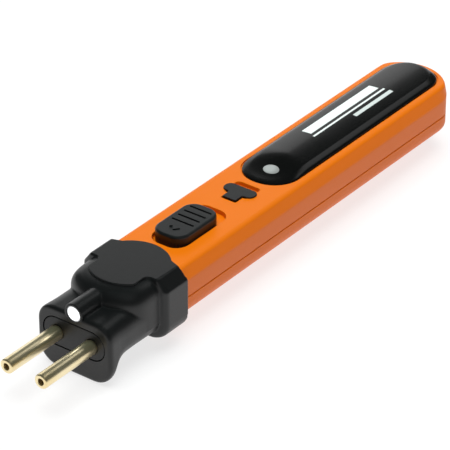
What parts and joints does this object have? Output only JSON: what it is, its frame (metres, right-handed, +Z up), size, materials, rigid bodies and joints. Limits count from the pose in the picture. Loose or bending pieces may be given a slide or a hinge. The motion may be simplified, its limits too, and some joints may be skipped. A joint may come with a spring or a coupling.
{
  "type": "cordless hot stapler",
  "caption": "Hand-held cordless hot stapler for plastic repair, with hollow contact pins, a work light, a thumb slide, a lock slide and a glossy battery cover.",
  "frame": {"origin": "centre of the plan outline at the level of the lowest point, the bottom of the nose's front foot", "axes": "+Z up through the control side, -Y out along the contact pins, +X across the width"},
  "size_m": [0.035, 0.2276, 0.0298],
  "materials": {
    "case_orange": "satin moulded plastic",
    "head_black": "fine-grained matte moulding",
    "carrier_black": "matte high-temperature plastic",
    "pin_brass": "turned, bright",
    "steel": "plated",
    "copper_strip": "plain copper strip",
    "lamp_clear": null,
    "cover_gloss": "high gloss",
    "window_grey": "frosted light window",
    "guide_clear": "clear light guide",
    "led_white": "light-emitting diode",
    "button_black": "matte moulding",
    "switch_white": "plain",
    "board_green": "coated circuit board",
    "chip_black": "moulded component",
    "capacitor_sleeve": "sleeved",
    "cell_wrap": "shrink wrap",
    "wire_red": "insulated wire",
    "foam": "closed-cell foam",
    "screw_black": "blackened"
  },
  "bodies": {
    "casing": {"upper_case": "case_orange", "lower_case": "case_orange", "nose_housing": "head_black", "pin_carrier": "carrier_black", "contact_pin_left": "pin_brass", "contact_pin_right": "pin_brass", "lead_nuts": "steel", "contact_lead_left": "copper_strip", "contact_lead_right": "copper_strip", "torch_lamp": "lamp_clear", "lamp_leads": "steel", "top_cover": "cover_gloss", "status_window": "window_grey", "light_guide": "guide_clear", "status_led": "led_white", "power_switch_body": "steel", "lock_switch_body": "steel", "circuit_board": "board_green", "power_transistors": "chip_black", "control_chip": "chip_black", "storage_capacitors": "capacitor_sleeve", "battery_cell": "cell_wrap", "battery_tab_front": "steel", "battery_tab_rear": "steel", "battery_return_lead": "wire_red", "battery_pad": "foam", "charge_board": "board_green", "charging_socket": "steel", "charge_leads": "wire_red", "case_screws": "screw_black", "board_screws": "steel"},
    "power_slide": {"power_slide_button": "button_black", "power_switch_lever": "switch_white"},
    "lock_slide": {"lock_slide_button": "button_black", "lock_switch_lever": "switch_white"}
  },
  "joints": [
    {"name": "power_slide_travel", "type": "slide", "parent": "casing", "child": "power_slide", "axis": [0, 1, 0], "range_m": [0, 0.0045]},
    {"name": "lock_slide_travel", "type": "slide", "parent": "casing", "child": "lock_slide", "axis": [0, 1, 0], "range_m": [0, 0.0026]}
  ]
}
